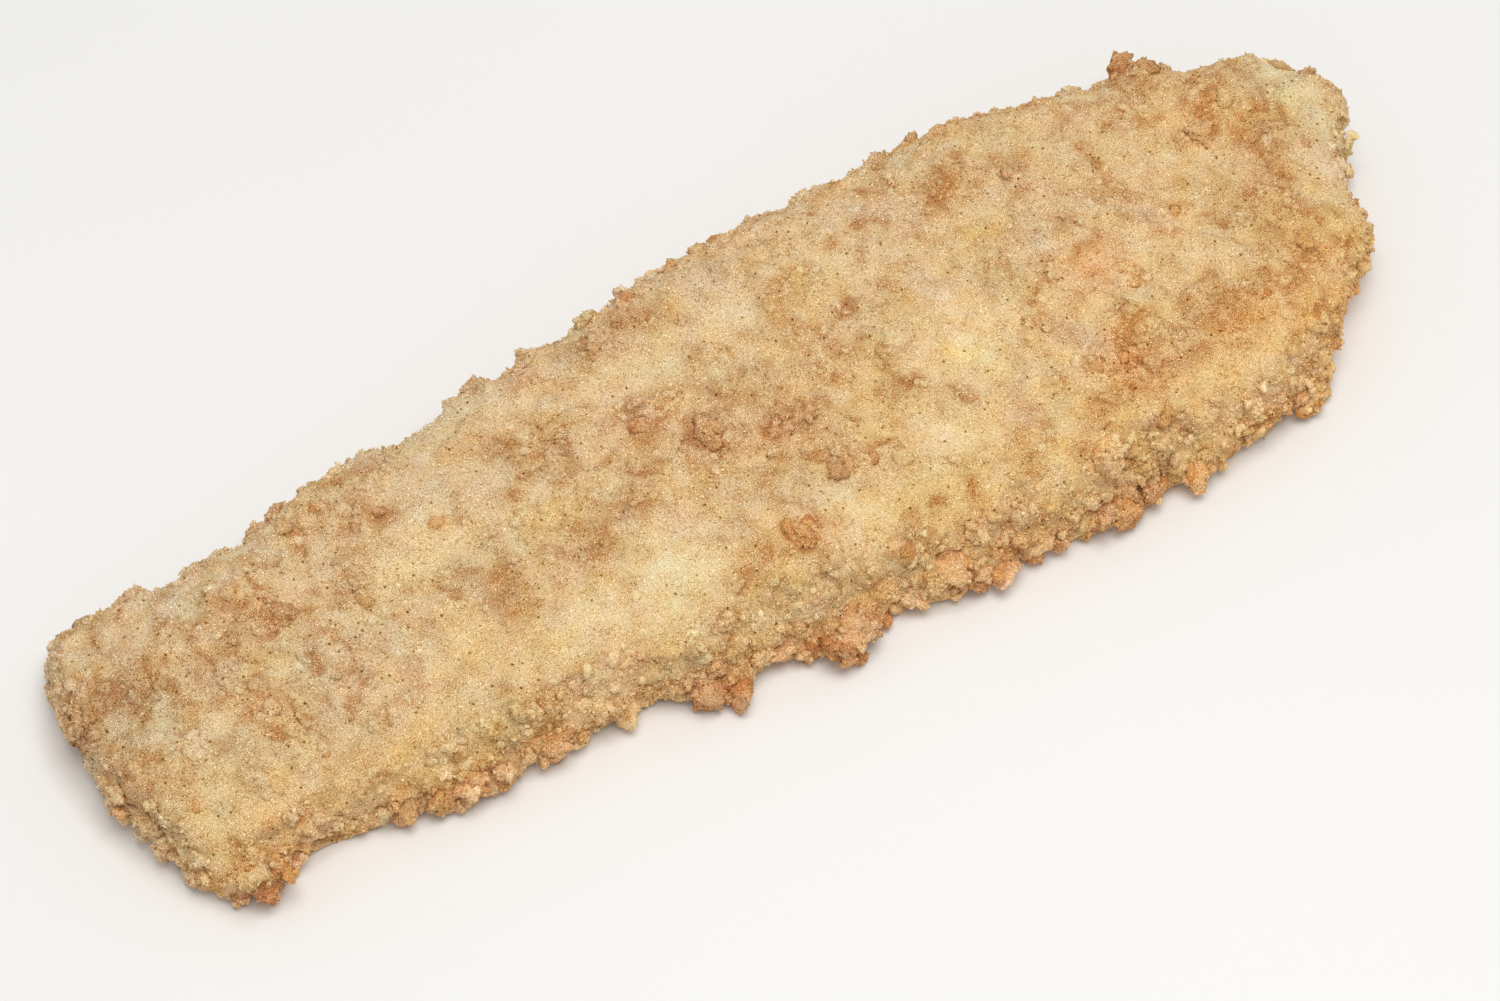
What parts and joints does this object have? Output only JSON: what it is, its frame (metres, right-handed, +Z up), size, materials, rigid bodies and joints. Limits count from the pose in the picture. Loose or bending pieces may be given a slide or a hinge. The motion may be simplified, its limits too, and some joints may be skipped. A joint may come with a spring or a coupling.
{
  "type": "fried fish fillet",
  "caption": "Long crumbed and fried fish fillet with a ragged golden crust, broad at the head end and squared off at the tail end, lying on a flat underside.",
  "frame": {"origin": "middle of the underside's box, on the plane the fillet lies on", "axes": "+X along the fillet from the squared tail end to the broad head end, +Y across it towards the longer curved side, +Z up out of the crust's top"},
  "size_m": [0.2004, 0.067, 0.0184],
  "materials": {
    "crust": "rough, dry golden fried breadcrumb, pale yellow to orange brown"
  },
  "bodies": {
    "root": {"fillet": "crust"}
  },
  "joints": []
}
